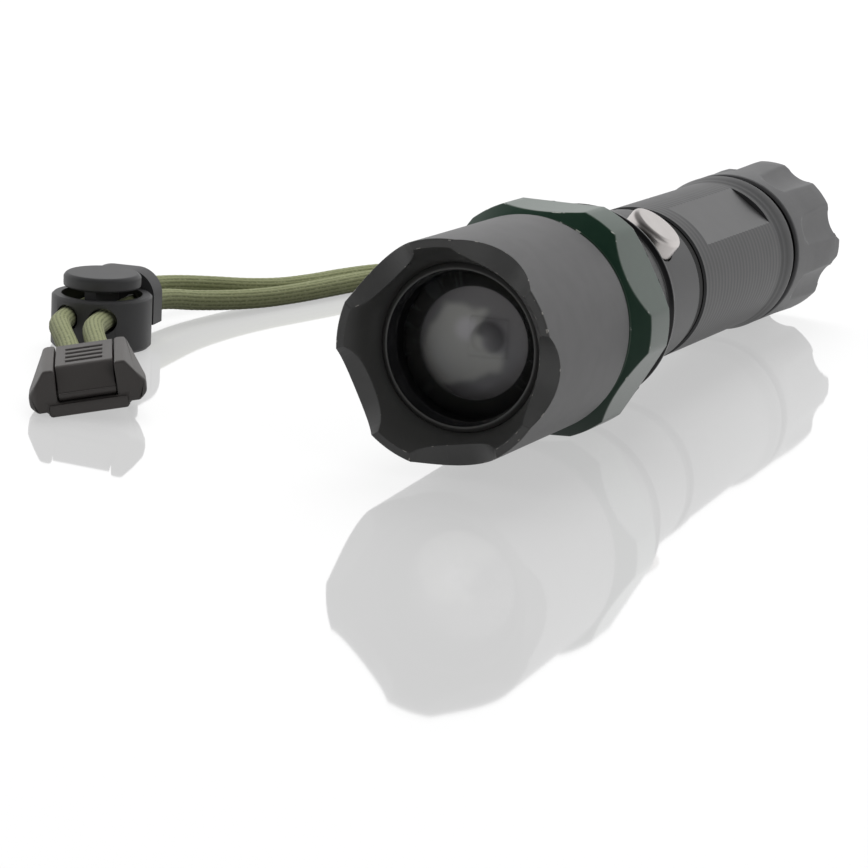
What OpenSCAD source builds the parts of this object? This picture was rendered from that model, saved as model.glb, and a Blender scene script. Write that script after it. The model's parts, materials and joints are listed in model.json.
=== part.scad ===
// Zoom flashlight with a side switch, lying on its anti-roll ring and tail cap,
// with a doubled wrist cord, a spring cord lock and a cord-end clip.
// Lengths along the flashlight are measured from the front rim, "s", towards the tail.
// Angles round it are seen from the front: 0 points to +X, 90 points up.

/* [Zoom head] */
// Wall of the grey sleeve round the slide
sleeve_wall = 3; // [2.6:0.1:4]
// Front rim to the shoulder that the anti-roll ring seats on
head_l = 38.4; // [36:0.1:46]
// Width of the flat front rim between the scallops
rim_w = 1.4; // [0.8:0.1:2]
// Depth of the funnel in front of the lens
funnel_depth = 7.8; // [6:0.1:9]
// Inward bow of the funnel wall
funnel_bow = 0.5; // [0:0.1:0.8]
// Number of scallops in the front rim
scallop_n = 5; // [4:1:6]
// Angle that one scallop takes at the rim
scallop_w = 48; // [36:1:52]
// How far back a scallop reaches on the sleeve
scallop_depth = 4.5; // [3.5:0.1:5.5]
// Slant of the scallop floor to the flashlight's axis
scallop_slant = 45; // [40:1:50]
// Angle of the first scallop
scallop_phase = 64; // [0:1:72]
// Width of the shadow groove in front of the anti-roll ring
step_w = 1.4; // [0.8:0.1:2]
// Depth of that groove below the sleeve
step_depth = 0.55; // [0.3:0.05:0.8]
// Wall of the sleeve under the anti-roll ring
seat_wall = 1.2; // [1:0.1:1.3]

/* [Lens] */
// Distance from the sleeve's outside to the edge of the lens
lens_inset = 5; // [4.6:0.1:6]
// Thickness of the lens edge
lens_edge = 2.6; // [2:0.1:3]
// Height of the front dome of the lens
lens_crown = 4.2; // [3.5:0.1:4.5]
// Width of the flat edge round the dome
lens_brim = 1.7; // [1.2:0.1:2.2]
// Width of the seat in the sleeve that the lens rests on
lens_seat_w = 5.4; // [3:0.1:6]
// Length of the ring that holds the lens from the front
lens_ring_l = 5.4; // [5:0.1:6]
// Height of the lip of that ring over the foot of the funnel
lens_lip = 0.4; // [0.2:0.1:0.8]
// Thickness of the gasket behind the lens edge
gasket_t = 0.3; // [0.2:0.1:0.5]
// Thickness of the wall in the sleeve that the lens rests on
lens_wall = 2.5; // [2:0.1:3]

/* [Anti-roll ring] */
// Height of the lands over the sleeve
ring_proud = 2; // [1.6:0.1:4]
// Number of lands
ring_n = 6; // [6:2:6]
// Angle that one land takes
land_w = 18; // [12:1:24]
// Hollow of each scallop below its chord
ring_sag = 0.25; // [0.1:0.05:0.4]
// Axial length of the cone at the front of the ring
ring_cone = 4.1; // [3:0.1:5]
// Axial length of the lands
ring_flat = 9.3; // [7:0.1:12]
// Axial length of the chamfer at the back of the ring
ring_back = 1.6; // [1:0.1:2.5]

/* [Rear collar] */
// Length of the collar behind the ring
collar_l = 10; // [9:0.1:13]
// Wall of the collar's neck
collar_wall = 2.9; // [2.4:0.1:3.2]
// Height of the lip at the collar's rear over the neck
collar_lip_h = 0.7; // [0.5:0.1:0.9]
// Width of that lip
collar_lip_w = 1.2; // [0.8:0.1:2]

/* [Zoom slide] */
// Wall of the barrel and of the switch section over the screw threads
barrel_wall = 1.9; // [1.8:0.1:2.4]
// Travel of the zoom head
zoom_travel = 11.5; // [8:0.5:11.5]
// Gap between the lens and the dome of the emitter with the head back
led_gap = 2; // [1.5:0.1:3]
// Radial height of the stop ring over the barrel
stop_h = 1.2; // [0.8:0.1:1.2]
// Width of the stop ring
stop_w = 1.4; // [1:0.1:1.6]
// Section of the O-ring in the slide
slide_oring_d = 1.25; // [1:0.05:1.4]

/* [Light engine] */
// Wall of the barrel round the brass LED holder
pill_cover = 2.5; // [2.2:0.1:3]
// Length of the LED holder
pill_l = 9.6; // [8:0.1:12]
// Distance from the LED holder's outside to the edge of the LED board
led_board_inset = 2; // [1.5:0.1:3]
// Thickness of the LED board
led_board_t = 1.6; // [1:0.1:2]
// Side of the square emitter
emitter_w = 5; // [3.5:0.1:6]
// Radius of the dome on the emitter
emitter_dome_r = 2.1; // [1.5:0.1:2.4]
// Thickness of the emitter's base
emitter_t = 0.8; // [0.5:0.1:1.2]
// Thickness of the driver board
driver_t = 1.5; // [1:0.1:2]

/* [Switch section] */
// Length of the switch section behind the collar
switch_l = 24.1; // [22:0.1:30]
// Angle of the push button and of the flat on the tube
side_angle = 55; // [20:1:90]
// Diameter of the push button
button_d = 10.4; // [9:0.1:11]
// Gap between the collar's lip and the push button
button_gap = 6.4; // [5.5:0.1:8]
// Height of the button's top over the switch section
button_h = 2.7; // [2:0.1:3.5]
// Rounding of the button's top edge
button_round = 1.1; // [0.6:0.1:1.6]
// Travel of the push button
button_travel = 0.6; // [0.4:0.1:0.7]
// Thickness of the switch board
switch_board_t = 1.2; // [0.8:0.1:1.6]
// Side of the square tact switch
tact_w = 6; // [5:0.1:6.5]
// Thickness of the battery contact board
contact_board_t = 1.6; // [1:0.1:2]
// Width of the groove between switch section and battery tube
groove_front_w = 3.5; // [2.5:0.1:4.5]

/* [Battery tube] */
// Wall of the battery tube over its screw threads
tube_wall = 1.85; // [1.75:0.05:2.4]
// Depth of the flat below the tube's surface
flat_depth = 0.95; // [0.5:0.05:1.1]
// Length of the flat
flat_l = 37.8; // [25:0.1:40]
// Length of the plain tube in front of the flat
flat_start = 6.5; // [5:0.1:10]
// Rise of the flare at the tube's rear
flare_h = 0.75; // [0.4:0.05:1]
// Length of the flare's cone
flare_l = 5; // [3:0.1:6]
// Length of the band behind the flare
flare_band = 1.2; // [0.8:0.1:2]
// Wall of the screw threads round the bore
thread_wall = 1.4; // [1.2:0.1:1.8]
// Length of the screw threads
thread_l = 10.5; // [9:0.1:11]
// Advance of the tail thread in one turn
thread_pitch = 1.25; // [1:0.05:1.5]
// Width of the groove between tube and tail cap
groove_rear_w = 3; // [2.5:0.1:5]

/* [Cell] */
// Diameter of the cell
cell_d = 18.4; // [18:0.1:18.6]
// Length of the cell over its button
cell_l = 65; // [64:0.5:66]
// Wall of the plastic sleeve round the cell
cell_sleeve_wall = 1.35; // [1:0.05:1.6]
// Clearance between the cell and its sleeve
cell_gap = 0.35; // [0.2:0.05:0.5]
// Length of the spring behind the cell
tail_spring_l = 7; // [6:0.1:9]

/* [Tail cap] */
// Wall of the tail cap at its front edge
tail_wall = 2.6; // [2.4:0.1:3.2]
// Rise of the tail cap to its largest diameter
tail_rise = 0.45; // [0.3:0.05:1.2]
// Drop from the largest diameter to the tail's end
tail_drop_end = 0.25; // [0.1:0.05:0.5]
// Length of the plain band at the front of the tail cap
tail_band = 9.8; // [7:0.1:11]
// Distance from the tail's end to its largest diameter
tail_bulge = 8; // [7:0.5:10]
// Depth of the screwed bore of the tail cap
tail_bore_l = 12.3; // [11:0.1:14]
// Thickness of the tail cap's floor
tail_floor_t = 4.5; // [3.5:0.1:6]
// Number of flutes in the tail cap
flute_n = 8; // [6:2:8]
// Radius of the ball cutter that makes the flutes
flute_r = 6.5; // [5.5:0.1:7]
// Depth of the flutes at the largest diameter
flute_depth = 1.4; // [1.1:0.05:1.5]
// Distance from the tail's front edge to the centre of the ball cutter
flute_start = 7.9; // [6.5:0.1:9]
// Angle of the first tooth between the flutes
tooth_phase = 41.5; // [0:0.5:45]
// Height of the two lugs over the other teeth
lug_h = 2.8; // [2:0.1:4]
// Width of a lug at its end
lug_w = 3.4; // [2.4:0.1:4]
// Width of a lug at its root
lug_root_w = 6.8; // [6:0.1:8]
// Wall between the recess and the tail's end
recess_wall = 5; // [4.6:0.1:6]
// Depth of the recess in the tail's end, under the lugs
recess_depth = 11.5; // [11:0.1:13]
// Diameter of the lanyard hole
lanyard_hole_d = 5; // [4.8:0.1:5.2]
// Distance of the lanyard hole from the lugs' ends
lanyard_hole_back = 8.8; // [8.5:0.1:9]

/* [Cord lock] */
// Outer diameter of the cord lock
lock_d = 18.9; // [18:0.1:20]
// Height of the lock's barrel
lock_h = 10; // [9.5:0.1:11]
// Wall of the lock's barrel
lock_wall = 1.8; // [1.4:0.1:2]
// Thickness of the lock's floor
lock_floor = 1.3; // [1:0.1:1.6]
// Height of the shoulder behind the barrel
lock_shoulder_h = 13.4; // [12:0.1:14]
// Width of the shoulder
lock_shoulder_w = 15; // [13:0.5:16]
// Depth of the shoulder
lock_shoulder_t = 4.4; // [3.5:0.1:5]
// Height of the shoulder's underside over the floor
lock_shoulder_z = 3.2; // [2:0.1:3.4]
// Distance between the two cord holes
lock_pitch = 7.1; // [7:0.1:7.2]
// Diameter of the cord holes
lock_hole_d = 5; // [4.8:0.1:5.2]
// Height of the cord holes
lock_hole_z = 6.4; // [6.3:0.1:6.5]
// Diameter of the plunger's disc
plunger_d = 14.6; // [13:0.1:14.8]
// Clearance under the plunger's disc when it is pressed
plunger_clear = 0; // [0:0.1:1.2]
// Thickness of the plunger's disc
plunger_t = 2.6; // [1.4:0.1:3]
// Travel of the plunger
plunger_travel = 1.4; // [1:0.1:1.5]

/* [Cord clip] */
// Length of the cord-end clip
clip_l = 21; // [20.5:0.1:22]
// Width of the clip over its wings
clip_w = 20.4; // [19:0.1:22]
// Height of the clip
clip_h = 8.2; // [7.8:0.1:9]
// Width of the cover between the wings
clip_cover_w = 10; // [9.6:0.1:10.4]
// Width of the base plate
clip_plate_w = 13.8; // [13:0.1:14]
// Thickness of the base plate
clip_plate_t = 2.2; // [1.8:0.1:2.2]
// Radius of the cover's hinge barrel
clip_barrel_r = 1.2; // [1:0.05:1.3]
// Diameter of the hinge pin
clip_pin_d = 1.2; // [1:0.05:1.3]
// Length of the hinge pin in each wing
clip_pin_reach = 2.2; // [1.8:0.1:2.6]
// Length of the cord in the clip
cord_grip = 11; // [9:0.1:12]
// Number of grip grooves on the cover
clip_groove_n = 4; // [2:1:5]
// Roll of the clip on the floor
clip_roll = 10; // [10:1:10]

/* [Fits] */
// Radial clearance of a sliding or screwed fit
fit = 0.05; // [0.03:0.01:0.08]
// Clearance between neighbouring pieces that don't fit each other
gap = 0.3; // [0.25:0.05:0.35]
// Clearance between faces that are clamped or lie together
seat_gap = 0.1; // [0.05:0.05:0.2]
// Small chamfer on turned edges
chamfer = 0.4; // [0.2:0.1:0.5]

/* [Hidden] */
$fn = 96;

// Radii from the cell outwards
cell_r = cell_d / 2;
tube_bore_r = cell_r + cell_gap + cell_sleeve_wall + gap;
thread_r = tube_bore_r + thread_wall;
tube_r = thread_r + tube_wall;
flare_r = tube_r + flare_h;
oring_r = thread_r + 1.45;
barrel_r = thread_r + barrel_wall;
pill_r = barrel_r - pill_cover;
led_board_r = pill_r - led_board_inset;
stop_r = barrel_r + stop_h;
bore_r = stop_r + gap;
seat_r = bore_r + seat_wall;
head_r = bore_r + sleeve_wall;
step_r = head_r - step_depth;
ring_r = head_r + ring_proud;
ring_nose_r = step_r + 0.15;
collar_r = barrel_r + collar_wall;
collar_lip_r = collar_r + collar_lip_h;
rim_in_r = head_r - rim_w;
lens_r = head_r - lens_inset;
pocket_r = lens_r + 0.2;
lens_seat_r = lens_r - lens_seat_w;
tail_front_r = thread_r + tail_wall;
tail_r = tail_front_r + tail_rise;
tail_end_r = tail_r - tail_drop_end;
flute_floor = tail_r - flute_depth;
recess_r = tail_end_r - recess_wall;

// Stations of the head and of the switch
s_ring = head_l;
ring_l = ring_cone + ring_flat + ring_back;
s_collar = s_ring + ring_l;
s_lip = s_collar + collar_l;
seam_cover = 1.4;
s_seam = s_lip - seam_cover;
s_button = s_lip + button_gap + button_d / 2;
s_switch_end = s_lip + switch_l;
s_tube = s_switch_end + groove_front_w;

// Stations of the lens, the slide and the light engine
s_lens = funnel_depth + lens_ring_l - lens_lip - seat_gap;
s_lens_back = s_lens + lens_edge;
s_lens_wall = s_lens_back + gasket_t;
s_dome = s_lens_back + led_gap;
s_emitter = s_dome + emitter_dome_r;
s_led_board = s_emitter + emitter_t;
s_pill = s_led_board + led_board_t;
barrel_lip = 1.2;
s_barrel = s_pill - barrel_lip;
s_stop = s_barrel + 1.8;
s_spigot = s_stop + stop_w + zoom_travel + 0.25;
s_slide_oring = s_spigot + 2.6;
s_driver = s_pill + pill_l;

// The button and what lies under it, measured outwards from the axis
button_hole_r = button_d / 2 + gap;
button_flange_r = button_d / 2 + 1.1;
pocket_top = barrel_r - 2.5;
flange_t = 0.8;
flange_top = pocket_top - 0.2;
stem_r = 2;
stem_end = flange_top - flange_t - 1;
tact_top = stem_end - button_travel - 0.1;
tact_nub = 0.3;
tact_h = 3.4;
board_top = tact_top - tact_nub - tact_h;
carrier_top = board_top - switch_board_t;
carrier_l = 10;
contact_board_r = flange_top - flange_t - button_travel - gap;
s_barrel_end = s_button - button_flange_r - gap;
s_carrier = s_button - carrier_l / 2;
s_contact = s_carrier + carrier_l + seat_gap;

// Stations of the cell and the tail
contact_gap = 2.7;
s_cell = s_contact + contact_board_t + contact_gap;
s_cell_end = s_cell + cell_l;
cell_button_h = 1.2;
tail_contact_t = 1.6;
s_tail_floor = s_cell_end + tail_spring_l + tail_contact_t;
s_tail = s_tail_floor - tail_bore_l;
s_tube_end = s_tail - groove_rear_w;
s_recess = s_tail_floor + tail_floor_t;
s_end = s_recess + recess_depth;
s_crown = s_end - lug_h;
s_lanyard = s_end - lanyard_hole_back;
lug_angle = tooth_phase - 360 / flute_n;
lanyard_angle = lug_angle + 180;

// Springs: radius of the wide end, radius of the narrow end, thickness of the wire
contact_coil = [3.6, 1.8, 0.6];
tail_coil = [6.5, 4, 0.9];
lock_coil = [5.8, 2.2, 0.5];

// The flashlight lies on two corners of the anti-roll ring and on the tail's largest diameter
s_rest_front = s_ring + ring_cone + ring_flat;
s_rest_tail = s_end - tail_bulge;
ring_drop = ring_r * cos(180 / ring_n - land_w / 2);
tilt = atan((ring_drop - tail_r) / (s_rest_tail - s_rest_front));
axis_z = s_rest_front * sin(tilt) + ring_drop * cos(tilt);
axis_y = -(s_end * cos(tilt) - head_r * sin(tilt)) / 2;

// The cord lock, the clip and the cord lie on the floor beside the flashlight
cord_d = 4;
cord_sides = 10;
lock_place = [-95.07, -24.5, 0];
lock_heading = 6;
clip_place = [-67.8, -79.4, 0];
clip_heading = 28;
clip_pitch = 5;
clip_part_z = 4.6;
clip_lift = clip_plate_w / 2 * sin(clip_roll);
clip_pin_y = 2;
clip_pin_z = clip_plate_t + 0.2 + clip_barrel_r;
clip_pin_l = clip_cover_w + 2 * clip_pin_reach;
plunger_top = lock_h + plunger_travel + plunger_clear + plunger_t;
lock_plate_t = 0.9;
lock_plate_top = lock_hole_z - cord_d / 2 - 0.2;

// Route of the strand that leaves through the lanyard hole, from the tail to the clip
route_a = [[-11, 78.5, 16.3], [-14.2, 78.5, 16.5], [-18.8, 78.5, 15.8], [-24, 78.3, 13.5], [-30, 78, 10],
    [-36, 77.6, 6.7], [-42, 76.9, 4], [-48, 75.8, 2.5], [-54, 74.2, 2.1], [-60.5, 71.6, 2.1],
    [-66.8, 67.4, 2.1], [-72.4, 61.2, 2.1], [-76, 52.6, 2.1], [-78.6, 43.4, 2.1], [-81.3, 34, 2.1],
    [-84.6, 24.2, 2.3], [-88, 14.8, 3], [-90.8, 6, 4.1], [-92.5, -3, 5.6], [-92.8, -12, 6.4],
    [-90.5, -34, 6.4], [-88.6, -39.6, 6.7], [-84.8, -46.6, 6.9], [-80.4, -53.4, 6.6],
    [-76.2, -60.1, 6.2], [-71.5, -68.9, 6.2]];
// Route of the strand that leaves through the open tail, from the tail to the clip
route_b = [[-11, 78.5, 16.3], [-8.8, 78.5, 16.2], [-5.4, 79.1, 16.1], [-2.6, 81, 16], [-0.8, 83.8, 15.8],
    [-0.2, 87, 15.7], [-0.8, 90.2, 15.6], [-2.6, 93, 15.4], [-5.4, 94.9, 15.1], [-9, 95.7, 14.7],
    [-14.5, 96, 13.2], [-20, 95.8, 11.1], [-26, 94.6, 8.3], [-32, 92.5, 5.6], [-38, 89.6, 3.4],
    [-44, 86.4, 2.3], [-52, 82.2, 2.1], [-62, 76.8, 2.1], [-70.8, 70.2, 2.1], [-77, 62, 2.1],
    [-80.8, 53, 2.1], [-83.6, 44, 2.1], [-86.6, 36, 2.3], [-90.2, 28.4, 3], [-94.6, 21.2, 4],
    [-98.2, 13.6, 5], [-100, 5, 5.9], [-100.4, -4, 6.4], [-99.9, -12, 6.4], [-97.6, -34, 6.4],
    [-95.6, -39.8, 6.6], [-91.2, -46.8, 6.5], [-85.8, -54.3, 5.9], [-80.5, -62.4, 5.3],
    [-75.8, -71.2, 5.3]];

// Lays a piece that is drawn round its own axis, +Z towards the tail, on the floor
module lay() {
    translate([0, axis_y, axis_z])
        rotate([-(90 + tilt), 0, 0])
            children();
}

// Places a piece that is drawn upright so that it points outwards at an angle and a station
module radial(angle, s) {
    translate([0, 0, s])
        rotate([0, 0, -angle])
            rotate([0, 90, 0])
                children();
}

// Repeats a cutter round the axis at equal angles
module around(count, first) {
    for (i = [0 : count - 1])
        rotate([0, 0, -(first + i * 360 / count)])
            children();
}

// A turned ring between two radii and two stations
module turned_ring(r_in, r_out, s_from, s_to) {
    rotate_extrude()
        translate([r_in, s_from])
            square([r_out - r_in, s_to - s_from]);
}

// A rubber ring with softened edges
module soft_ring(r_in, r_out, s_from, s_to, soft) {
    rotate_extrude()
        polygon([[r_in, s_from], [r_out - soft, s_from], [r_out, s_from + soft],
            [r_out, s_to - soft], [r_out - soft, s_to], [r_in, s_to]]);
}

// An O-ring with a round section
module oring(r_mid, section, s_mid) {
    translate([0, 0, s_mid])
        rotate_extrude()
            translate([r_mid, 0])
                circle(d = section, $fn = 32);
}

// Points of a shallow arc in a turned profile, bowed by sag to the left of its run
function bowed(a, b, sag, steps) = let (n = [a[1] - b[1], b[0] - a[0]] / norm(b - a))
    [for (i = [0 : steps]) let (t = i / steps) a + (b - a) * t + n * sag * 4 * t * (1 - t)];

// A tube swept along points: a ring of corners at each point, closed at both ends
function unit(v) = v / norm(v);
function run(p, i) = unit(p[min(i + 1, len(p) - 1)] - p[max(i - 1, 0)]);
function ring_at(p, i, r, sides, up) = let (t = run(p, i), a = unit(cross(t, up)), b = cross(a, t))
    [for (k = [0 : sides - 1]) p[i] + r * (cos(360 * k / sides) * a + sin(360 * k / sides) * b)];
module swept_tube(p, r, sides, up) {
    last = len(p) - 1;
    corners = [for (i = [0 : last]) each ring_at(p, i, r, sides, up)];
    walls = [for (i = [0 : last - 1], k = [0 : sides - 1])
        let (a = i * sides + k, b = i * sides + (k + 1) % sides)
        each [[a, b, b + sides], [a, b + sides, a + sides]]];
    front = [for (k = [1 : sides - 2]) [0, k + 1, k]];
    back = [for (k = [1 : sides - 2]) [last * sides, last * sides + k, last * sides + k + 1]];
    polyhedron(points = corners, faces = concat(walls, front, back));
}

// A conical coil spring that stands on z = 0
coil_steps = 8;
function coil_points(r_from, r_to, h, turns) = [for (i = [0 : turns * coil_steps])
    let (t = i / (turns * coil_steps), r = r_from + (r_to - r_from) * t)
    [r * cos(360 * turns * t), r * sin(360 * turns * t), h * t]];
function coil_gap(p, wire) = min([for (i = [0 : len(p) - 1 - coil_steps])
    norm(p[i + coil_steps] - p[i])]) - wire;
module coil_spring(coil, h, turns) {
    wire = coil[2];
    p = coil_points(coil[0], coil[1], h - wire, turns);
    echo(least_gap_between_curls = coil_gap(p, wire));
    translate([0, 0, wire / 2])
        swept_tube(p, wire / 2, 6, [0, 0, 1]);
}

// Sleeve and front rim, turned from one bar, with slanted scallops in the rim
module zoom_sleeve() {
    sleeve_end = s_collar - seat_gap;
    end_x = head_r * cos(scallop_w / 2);
    end_t = head_r * sin(scallop_w / 2);
    cut_mid = head_r * sin(scallop_slant) - scallop_depth * cos(scallop_slant);
    cut_end = end_x * sin(scallop_slant);
    cut_sag = cut_end - cut_mid;
    cutter_r = (end_t * end_t + cut_sag * cut_sag) / (2 * cut_sag);
    funnel = bowed([rim_in_r, 0], [pocket_r, funnel_depth], funnel_bow, 5);
    color("dimgray") lay() difference() {
        rotate_extrude()
            polygon(concat([[head_r - chamfer / 2, 0], [head_r, chamfer / 2],
                [head_r, s_ring - step_w - chamfer], [head_r - chamfer, s_ring - step_w],
                [step_r, s_ring - step_w], [step_r, s_ring], [seat_r, s_ring], [seat_r, sleeve_end],
                [bore_r, sleeve_end], [bore_r, s_lens_wall + lens_wall],
                [lens_seat_r, s_lens_wall + lens_wall], [lens_seat_r, s_lens_wall],
                [pocket_r, s_lens_wall]],
                [for (i = [5 : -1 : 0]) funnel[i]]));
        around(scallop_n, scallop_phase)
            rotate([0, scallop_slant, 0])
                translate([cut_mid + cutter_r, 0, 0])
                    cylinder(r = cutter_r, h = head_r * 6, center = true, $fn = 160);
    }
}

// Threaded ring that holds the lens from the front, with a thin raised lip
module lens_ring() {
    r_out = pocket_r - fit;
    r_in = lens_r - lens_brim;
    front = funnel_depth - lens_lip;
    back = s_lens - seat_gap;
    lead = 0.5;
    lip_w = 0.3;
    lip_round = 0.2;
    bevel_l = 2.2;
    color("black") lay() rotate_extrude()
        polygon([[r_out, front + lip_round + lead], [r_out - lead, front + lip_round],
            [r_out - lead - lip_w, front], [r_out - lead - 2 * lip_w, front + lip_round / 2],
            [r_in + lip_round / 2, front + bevel_l], [r_in, back], [r_out, back]]);
}

// Thick condenser lens: a dome in front, a flat edge and a flat back
module lens() {
    dome_w = lens_r - lens_brim - seat_gap;
    dome_r = (dome_w * dome_w + lens_crown * lens_crown) / (2 * lens_crown);
    color("lightgray") lay() union() {
        translate([0, 0, s_lens]) cylinder(r = lens_r, h = lens_edge);
        intersection() {
            translate([0, 0, s_lens - lens_crown]) cylinder(r = dome_w, h = lens_crown + lens_edge / 2);
            translate([0, 0, s_lens - lens_crown + dome_r]) sphere(r = dome_r);
        }
    }
}

// Flat gasket between the lens and the sleeve
module lens_gasket() {
    color("black") lay()
        turned_ring(lens_seat_r + seat_gap, lens_r, s_lens_back, s_lens_wall);
}

// Green ring with hollow sides, so that the flashlight doesn't roll
module anti_roll_ring() {
    half_scallop = 180 / ring_n - land_w / 2;
    chord = ring_r * sin(half_scallop);
    cutter_r = (chord * chord + ring_sag * ring_sag) / (2 * ring_sag);
    cutter_x = ring_r * cos(half_scallop) - ring_sag + cutter_r;
    back_r = ring_r - ring_back;
    color("darkgreen") lay() difference() {
        rotate_extrude()
            polygon([[seat_r + fit, s_ring], [ring_nose_r, s_ring], [ring_r, s_ring + ring_cone],
                [ring_r, s_collar - ring_back], [back_r, s_collar], [seat_r + fit, s_collar]]);
        around(ring_n, 180 / ring_n)
            translate([cutter_x, 0, s_ring - 1])
                cylinder(r = cutter_r, h = ring_l + 2, $fn = 360);
    }
}

// Black collar that screws in behind the ring and slides on the barrel
module rear_collar() {
    neck_r = collar_r;
    lip_r = collar_lip_r;
    shoulder_r = ring_r - ring_back - 1;
    shoulder_l = 0.8;
    slope_l = 3.6;
    slope_bow = 0.25;
    edge = 0.3;
    lip_front = s_lip - collar_lip_w;
    color("black") lay() rotate_extrude()
        polygon(concat([[barrel_r + fit, s_spigot], [bore_r - fit, s_spigot], [bore_r - fit, s_collar],
            [shoulder_r, s_collar], [shoulder_r, s_collar + shoulder_l]],
            bowed([shoulder_r - edge, s_collar + shoulder_l + edge], [neck_r, s_collar + slope_l],
            -slope_bow, 4),
            [[neck_r, lip_front - 2 * edge], [lip_r - edge, lip_front], [lip_r, lip_front + edge],
            [lip_r, s_lip - edge], [lip_r - edge, s_lip], [barrel_r + fit, s_lip]]));
}

// Barrel that carries the light engine and that the zoom head slides on
module front_barrel() {
    stop_groove_r = barrel_r - 0.8;
    oring_groove_r = barrel_r - slide_oring_d;
    color("dimgray") lay() difference() {
        union() {
            translate([0, 0, s_barrel]) cylinder(r = barrel_r, h = s_seam - s_barrel);
            translate([0, 0, s_seam]) cylinder(r = thread_r, h = s_barrel_end - s_seam);
        }
        translate([0, 0, s_barrel - 1]) cylinder(r = pill_r + fit, h = s_driver + 3 - s_barrel + 1);
        translate([0, 0, s_driver]) cylinder(r = tube_bore_r, h = s_barrel_end - s_driver + 1);
        turned_ring(stop_groove_r, barrel_r + 1, s_stop - fit, s_stop + stop_w + fit);
        turned_ring(oring_groove_r, barrel_r + 1, s_slide_oring - slide_oring_d * 0.7,
            s_slide_oring + slide_oring_d * 0.7);
    }
}

// Spring clip in the front groove of the barrel, which stops the zoom head
module stop_ring() {
    mouth = 3;
    color("silver") lay() difference() {
        turned_ring(barrel_r - 0.8 + fit, stop_r, s_stop, s_stop + stop_w);
        translate([0, -mouth / 2, s_stop - 1]) cube([stop_r * 2, mouth, stop_w + 2]);
    }
}

// O-ring that seals and holds the zoom head by friction
module slide_oring() {
    color("black") lay()
        oring(barrel_r - slide_oring_d / 2 - 0.02, slide_oring_d - 0.06, s_slide_oring);
}

// Brass holder that takes the heat from the LED board into the barrel
module led_pill() {
    web = 3;
    color("goldenrod") lay() difference() {
        translate([0, 0, s_pill]) cylinder(r = pill_r, h = pill_l);
        translate([0, 0, s_pill + web]) cylinder(r = led_board_r, h = pill_l);
    }
}

// Round aluminium LED board
module led_board() {
    color("whitesmoke") lay()
        translate([0, 0, s_led_board]) cylinder(r = led_board_r, h = led_board_t);
}

// Square emitter with its clear dome
module led_emitter() {
    color("gold") lay() union() {
        translate([-emitter_w / 2, -emitter_w / 2, s_emitter]) cube([emitter_w, emitter_w, emitter_t]);
        intersection() {
            translate([0, 0, s_emitter]) sphere(r = emitter_dome_r);
            translate([0, 0, s_dome - 1]) cylinder(r = emitter_dome_r, h = s_emitter - s_dome + 1.2);
        }
    }
}

// Plastic washer that centres the emitter
module led_centring_ring() {
    washer_t = emitter_t - seat_gap;
    washer_r = led_board_r - emitter_t;
    window = emitter_w + 2 * seat_gap;
    color("white") lay() difference() {
        translate([0, 0, s_led_board - washer_t]) cylinder(r = washer_r, h = washer_t);
        translate([-window / 2, -window / 2, s_dome]) cube([window, window, s_pill - s_dome]);
    }
}

// Driver board that closes the back of the LED holder
module driver_board() {
    color("seagreen") lay()
        translate([0, 0, s_driver]) cylinder(r = min(tube_bore_r, pill_r) - 0.2, h = driver_t);
}

// Housing of the side switch, with the round hole for the push button
module switch_housing() {
    color("dimgray") lay() difference() {
        union() {
            rotate_extrude()
                polygon([[tube_bore_r, s_seam], [barrel_r, s_seam], [barrel_r, s_switch_end - chamfer],
                    [barrel_r - chamfer, s_switch_end], [thread_r, s_switch_end],
                    [thread_r, s_switch_end + thread_l], [tube_bore_r, s_switch_end + thread_l]]);
        }
        translate([0, 0, s_seam - 1]) cylinder(r = thread_r + fit, h = s_barrel_end + seat_gap - s_seam + 1);
        radial(side_angle, s_button) cylinder(r = button_hole_r, h = barrel_r * 2);
        radial(side_angle, s_button) cylinder(r = button_flange_r + gap, h = pocket_top);
    }
}

// Plastic block that holds the switch board under the button
module switch_carrier() {
    color("black") lay() difference() {
        translate([0, 0, s_carrier]) cylinder(r = tube_bore_r - seat_gap, h = carrier_l);
        radial(side_angle, s_button)
            translate([-carrier_l, -barrel_r, carrier_top]) cube([carrier_l * 2, barrel_r * 2, barrel_r]);
    }
}

// Small circuit board of the switch
module switch_board() {
    color("seagreen") lay() radial(side_angle, s_button)
        translate([-carrier_l / 2 + 0.5, -tact_w, carrier_top])
            cube([carrier_l - 1, tact_w * 2, switch_board_t]);
}

// Tact switch with its round nub
module tact_switch() {
    color("black") lay() radial(side_angle, s_button) union() {
        translate([-tact_w / 2, -tact_w / 2, board_top]) cube([tact_w, tact_w, tact_h]);
        translate([0, 0, board_top + tact_h]) cylinder(d = tact_w / 2, h = tact_nub);
    }
}

// Silver push button with a rounded edge, a groove for its O-ring and a flange that keeps it in
module switch_button() {
    r = button_d / 2;
    top = barrel_r + button_h;
    groove_mid = pocket_top + 0.75;
    edge = [for (i = [0 : 5]) [r - button_round + button_round * sin(18 * i),
        top - button_round + button_round * cos(18 * i)]];
    color("gainsboro") lay() radial(side_angle, s_button) rotate_extrude()
        polygon(concat([[0, top]], edge, [[r, groove_mid + 0.55], [r - 0.6, groove_mid + 0.55],
            [r - 0.6, groove_mid - 0.55], [r, groove_mid - 0.55], [r, flange_top],
            [button_flange_r, flange_top], [button_flange_r, flange_top - flange_t],
            [stem_r, flange_top - flange_t], [stem_r, stem_end], [0, stem_end]]));
}

// O-ring in the groove of the button
module button_oring() {
    section = 0.8;
    color("black") lay() radial(side_angle, s_button)
        oring(button_d / 2 - 0.16, section, pocket_top + 0.75);
}

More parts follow.
